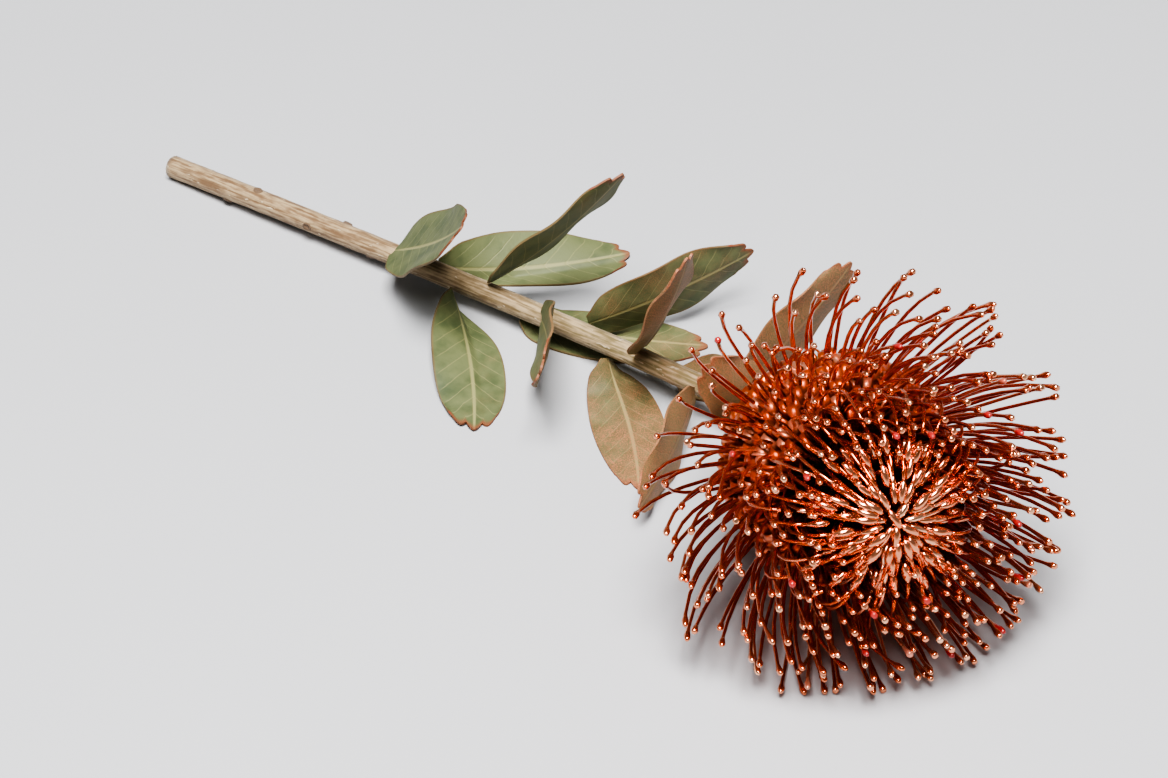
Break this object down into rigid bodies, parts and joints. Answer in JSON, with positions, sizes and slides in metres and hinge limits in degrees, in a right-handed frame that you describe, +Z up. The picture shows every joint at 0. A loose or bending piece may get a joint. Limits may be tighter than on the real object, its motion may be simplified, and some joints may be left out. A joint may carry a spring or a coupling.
{
  "type": "painted copper pincushion",
  "caption": "Cut nodding pincushion flower with a dome of copper-painted wiry styles on a leafy stem, lying on its side",
  "frame": {"origin": "on the surface that the flower lies on, under the middle of its whole box", "axes": "+X runs along the stem from its cut end to the head, +Z is up from the surface, +Y is to the left of +X"},
  "size_m": [0.3266, 0.1384, 0.0939],
  "materials": {
    "copper_paint": "satin",
    "painted_bracts": "satin",
    "stem_bark": "matte",
    "dusted_leaf": "matte"
  },
  "bodies": {
    "root": {"flower_head": "copper_paint", "involucre": "painted_bracts", "stem": "stem_bark", "leaf_01": "dusted_leaf", "leaf_02": "dusted_leaf", "leaf_03": "dusted_leaf", "leaf_04": "dusted_leaf", "leaf_05": "dusted_leaf", "leaf_06": "dusted_leaf", "leaf_07": "dusted_leaf", "leaf_08": "dusted_leaf", "leaf_09": "dusted_leaf", "leaf_10": "dusted_leaf", "leaf_11": "dusted_leaf", "leaf_12": "dusted_leaf", "leaf_13": "dusted_leaf", "leaf_14": "dusted_leaf"}
  },
  "joints": []
}
